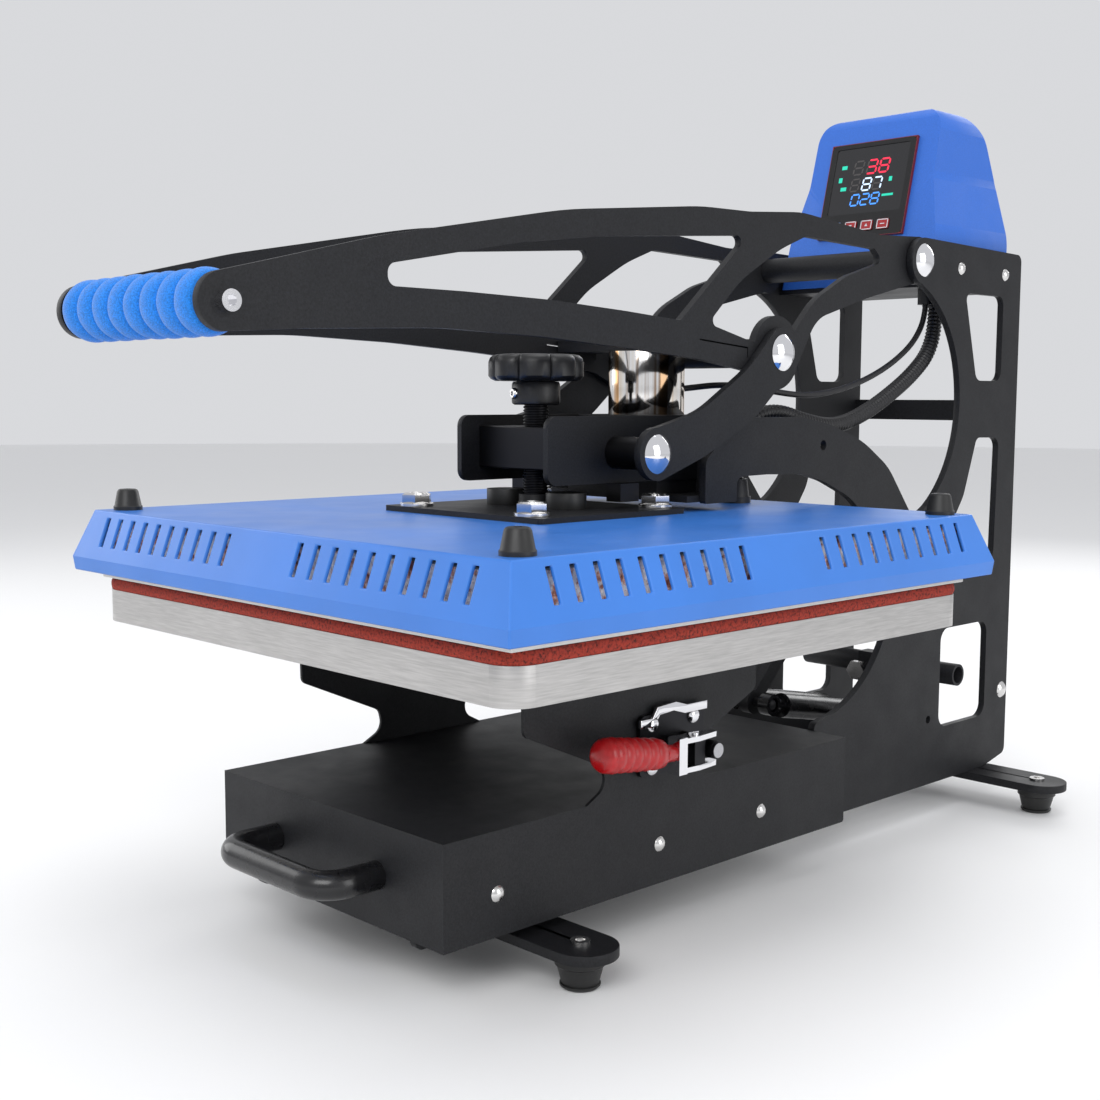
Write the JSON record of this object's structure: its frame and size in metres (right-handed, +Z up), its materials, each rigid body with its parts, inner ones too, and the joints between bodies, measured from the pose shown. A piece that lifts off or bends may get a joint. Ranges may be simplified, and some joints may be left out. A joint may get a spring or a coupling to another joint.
{
  "type": "heat press",
  "caption": "Benchtop swing-arm heat press with a magnetic catch, pull-out lower platen, digital control box and pressure knob.",
  "frame": {"origin": "on the bench, under the middle of the machine's box", "axes": "+Z up, -Y towards the operator, +X to the operator's right"},
  "size_m": [0.407, 0.7312, 0.5339],
  "materials": {
    "black_coat": "satin black powder coat, fine texture",
    "black_steel": "blackened steel",
    "chrome": "polished chrome",
    "steel": "zinc plated",
    "black_satin": "satin black",
    "blue_cover": "mid blue powder coat",
    "blue_foam": "soft foam",
    "silicone": "red-brown silicone foam",
    "platen_alu": "machined",
    "element_steel": "heat tinted",
    "insulation": "ceramic fibre board",
    "rubber": "matt",
    "black_plastic": "matt moulded",
    "bezel": "gloss",
    "screen": "smoked",
    "board": "solder mask",
    "red_plastic": "gloss",
    "blue_button": "gloss"
  },
  "bodies": {
    "root": {"frame_side_left": "black_coat", "frame_side_right": "black_coat", "frame_cross_members": "black_coat", "foot_bars": "black_coat", "rubber_feet": "rubber", "frame_pivot_shafts": "chrome", "frame_screws": "black_steel", "slide_rails_outer": "steel", "control_box_shell": "blue_cover", "display_bezel": "bezel", "display_window": "screen", "control_board": "board", "power_board": "board", "rear_panel": "black_plastic", "mains_inlet": "black_plastic", "box_glands": "black_plastic", "heater_conduit": "black_plastic", "magnet_cable": "black_plastic"},
    "lever": {"lever_sides": "black_coat", "lever_cross_tubes": "black_coat", "foam_grip": "blue_foam", "armature_plate": "black_coat", "lever_pins": "chrome"},
    "link": {"links": "black_coat", "link_pivot_caps": "chrome"},
    "arm": {"arm_sides": "black_coat", "arm_tail": "black_coat", "press_beam": "black_coat", "beam_blocks": "black_steel", "link_foot_shaft": "black_steel", "electromagnet": "chrome"},
    "spring_cylinder": {"gas_spring_cylinders": "black_satin"},
    "spring_rod": {"gas_spring_rods": "steel"},
    "head": {"heat_cover": "blue_cover", "heating_plate": "platen_alu", "heating_element": "element_steel", "insulation_board": "insulation", "mounting_plate": "black_steel", "mounting_bolts": "steel", "guide_discs": "rubber", "cover_bumpers": "rubber", "head_gland": "black_plastic"},
    "spindle": {"spindle": "steel", "pressure_knob": "black_plastic"},
    "drawer": {"drawer_shell": "black_coat", "lower_platen": "platen_alu", "silicone_pad": "silicone", "drawer_handle": "black_coat", "drawer_screws": "black_steel", "slide_rails_inner": "steel", "latch_base": "chrome"},
    "rail_middle": {"slide_rails_middle": "steel"},
    "latch_handle": {"latch_fork": "chrome", "latch_grip": "red_plastic"},
    "latch_plunger": {"latch_plunger": "chrome"},
    "button_1": {"button_1": "blue_button"},
    "button_2": {"button_2": "red_plastic"},
    "button_3": {"button_3": "red_plastic"},
    "button_4": {"button_4": "red_plastic"},
    "power_switch": {"rocker_switch": "red_plastic"}
  },
  "joints": [
    {"name": "lever_pivot", "type": "hinge", "parent": "root", "child": "lever", "pos_m": [0, 0.2252, 0.415], "axis": [-1, 0, 0], "range_deg": [0, 65]},
    {"name": "arm_pivot", "type": "hinge", "parent": "root", "child": "arm", "pos_m": [0, 0.2252, 0.201], "axis": [-1, 0, 0], "range_deg": [0, 31.5], "deforming": ["heater_conduit", "magnet_cable"]},
    {"name": "link_pivot", "type": "hinge", "parent": "lever", "child": "link", "pos_m": [0, 0.0602, 0.345], "axis": [-1, 0, 0], "range_deg": [-97.2, 0]},
    {"name": "head_height", "type": "slide", "parent": "arm", "child": "head", "axis": [0, 0, 1], "range_m": [0, 0.003]},
    {"name": "pressure_turn", "type": "hinge", "parent": "head", "child": "spindle", "pos_m": [0, -0.0888, 0.326], "axis": [0, 0, 1], "range_deg": [0, 541]},
    {"name": "spring_tilt", "type": "hinge", "parent": "arm", "child": "spring_cylinder", "pos_m": [0, 0.1292, 0.094], "axis": [-1, 0, 0], "range_deg": [-18.56, 0]},
    {"name": "spring_extend", "type": "slide", "parent": "spring_cylinder", "child": "spring_rod", "axis": [0, 0.9822, -0.1881], "range_m": [0, 0.0598]},
    {"name": "drawer_slide", "type": "slide", "parent": "root", "child": "drawer", "axis": [0, -1, 0], "range_m": [0, 0.2]},
    {"name": "rail_slide", "type": "slide", "parent": "root", "child": "rail_middle", "axis": [0, -1, 0], "range_m": [0, 0.1]},
    {"name": "latch_swing", "type": "hinge", "parent": "drawer", "child": "latch_handle", "pos_m": [0.126, -0.0813, 0.1135], "axis": [0, 0, 1], "range_deg": [0, 90]},
    {"name": "latch_push", "type": "slide", "parent": "drawer", "child": "latch_plunger", "axis": [1, 0, 0], "range_m": [0, 0.0101]},
    {"name": "button_1_press", "type": "slide", "parent": "root", "child": "button_1", "axis": [0, 0.9694, -0.2453], "range_m": [0, 0.0015], "stiffness_N_per_m": 300},
    {"name": "button_2_press", "type": "slide", "parent": "root", "child": "button_2", "axis": [0, 0.9694, -0.2453], "range_m": [0, 0.0015], "stiffness_N_per_m": 300},
    {"name": "button_3_press", "type": "slide", "parent": "root", "child": "button_3", "axis": [0, 0.9694, -0.2453], "range_m": [0, 0.0015], "stiffness_N_per_m": 300},
    {"name": "button_4_press", "type": "slide", "parent": "root", "child": "button_4", "axis": [0, 0.9694, -0.2453], "range_m": [0, 0.0015], "stiffness_N_per_m": 300},
    {"name": "power_switch_rock", "type": "hinge", "parent": "root", "child": "power_switch", "pos_m": [0.004, 0.3567, 0.423], "axis": [1, 0, 0], "range_deg": [0, 16]}
  ],
  "couplings": [
    {"joint": "arm_pivot", "follows": "lever_pivot", "ratio": 0.48046},
    {"joint": "link_pivot", "follows": "lever_pivot", "ratio": -1.4912},
    {"joint": "spring_tilt", "follows": "lever_pivot", "ratio": -0.28099},
    {"joint": "spring_extend", "follows": "lever_pivot", "m_per_rad": 0.052446},
    {"joint": "pressure_turn", "follows": "head_height", "rad_per_m": 3141.6},
    {"joint": "rail_slide", "follows": "drawer_slide", "ratio": 0.5},
    {"joint": "latch_push", "follows": "latch_swing", "m_per_rad": 0.006366}
  ]
}
